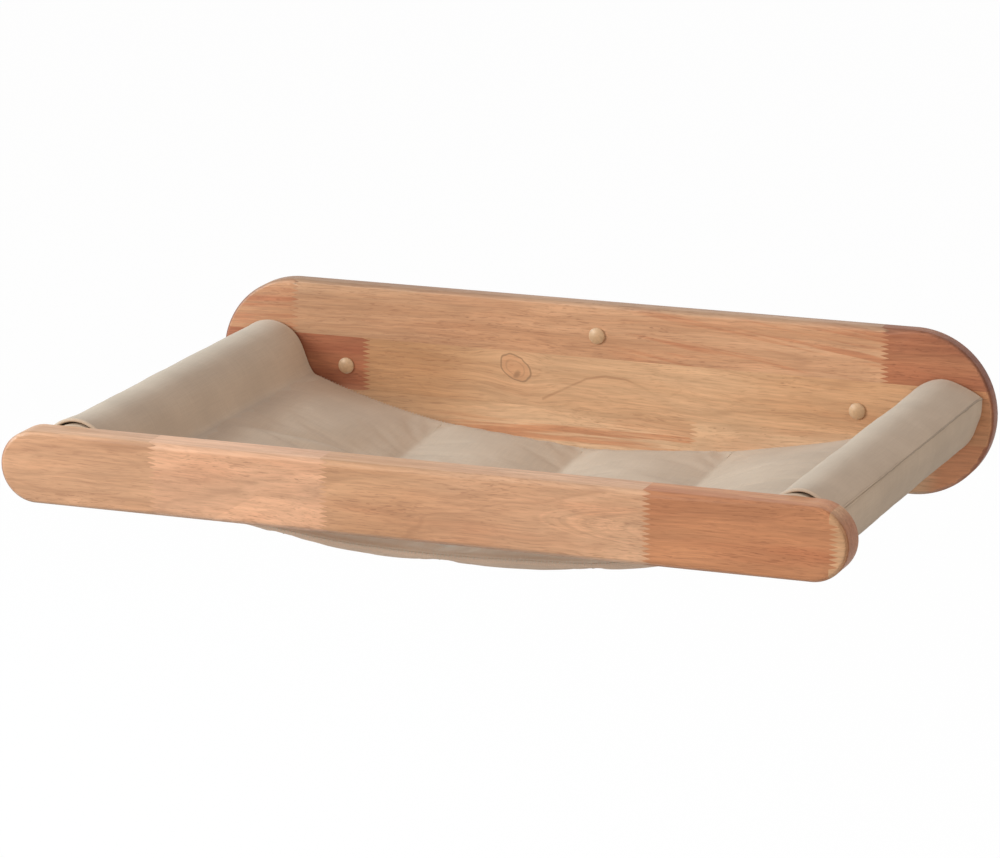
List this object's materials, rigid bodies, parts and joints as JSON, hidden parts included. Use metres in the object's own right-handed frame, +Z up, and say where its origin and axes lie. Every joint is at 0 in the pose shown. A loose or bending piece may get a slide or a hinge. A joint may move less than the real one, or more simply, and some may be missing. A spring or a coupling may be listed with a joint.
{
  "type": "wall mounted cat hammock",
  "caption": "Wall-mounted pet bed: a quilted canvas sling hung in sleeves over side arms, between a round-ended wooden back board and a front rail, with push-in screw caps.",
  "frame": {"origin": "centre of the board's rear face, on the wall", "axes": "+X along the wall, to the right as seen from the room; +Y into the wall; +Z up"},
  "size_m": [0.6, 0.37, 0.119],
  "materials": {
    "wood_tan": "oiled, satin",
    "wood_pink": "oiled, satin",
    "wood_orange": "oiled, satin",
    "wood_red": "oiled, satin",
    "wood_light": "oiled, satin",
    "canvas": "plain woven canvas",
    "cap": "satin moulded",
    "steel": "zinc plated",
    "brass": "turned"
  },
  "bodies": {
    "frame": {"board_upper_left_block": "wood_orange", "board_upper_middle_block": "wood_tan", "board_upper_right_block": "wood_red", "board_middle_left_block": "wood_red", "board_middle_right_block": "wood_tan", "board_lower_left_block": "wood_orange", "board_lower_right_block": "wood_red", "rail_block_1": "wood_tan", "rail_block_2": "wood_pink", "rail_block_3": "wood_tan", "rail_block_4": "wood_orange", "rail_block_5": "wood_light", "left_arm": "wood_light", "right_arm": "wood_light", "rail_dowels": "wood_light", "left_sleeve": "canvas", "right_sleeve": "canvas", "quilted_bed": "canvas", "arm_bolts": "steel", "arm_washers": "steel", "arm_inserts": "brass"},
    "cap_top": {"cap_top": "cap"},
    "cap_left": {"cap_left": "cap"},
    "cap_right": {"cap_right": "cap"}
  },
  "joints": [
    {"name": "cap_top_pull", "type": "slide", "parent": "frame", "child": "cap_top", "axis": [0, -1, 0], "range_m": [0, 0.02]},
    {"name": "cap_left_pull", "type": "slide", "parent": "frame", "child": "cap_left", "axis": [0, -1, 0], "range_m": [0, 0.02]},
    {"name": "cap_right_pull", "type": "slide", "parent": "frame", "child": "cap_right", "axis": [0, -1, 0], "range_m": [0, 0.02]}
  ]
}
